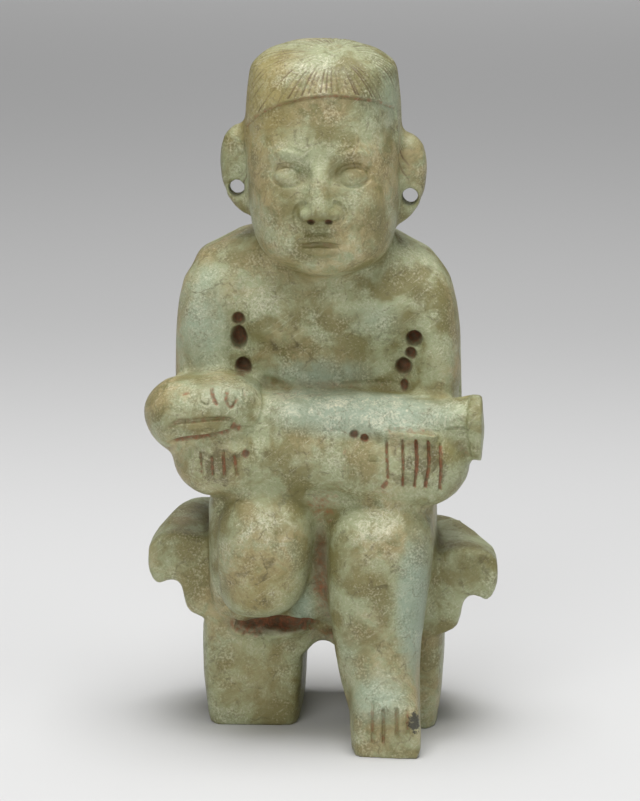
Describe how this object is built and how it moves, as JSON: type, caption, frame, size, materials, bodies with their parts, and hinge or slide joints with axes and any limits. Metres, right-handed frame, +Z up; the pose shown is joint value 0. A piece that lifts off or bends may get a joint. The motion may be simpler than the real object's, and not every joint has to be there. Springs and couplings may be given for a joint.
{
  "type": "seated stone figure holding an infant",
  "caption": "Small greenstone carving of a figure seated on a winged bench, holding an infant across its lap; stands by its own weight.",
  "frame": {"origin": "on the ground, under the middle of the carving's width and depth", "axes": "+Z up; the figure faces -Y, so its right hand is towards -X"},
  "size_m": [0.056, 0.045, 0.1105],
  "materials": {
    "greenstone": "semi-polished mottled grey-green serpentine, with buff patches and red-brown earth in the grooves"
  },
  "bodies": {
    "root": {"seated_figure": "greenstone"}
  },
  "joints": []
}
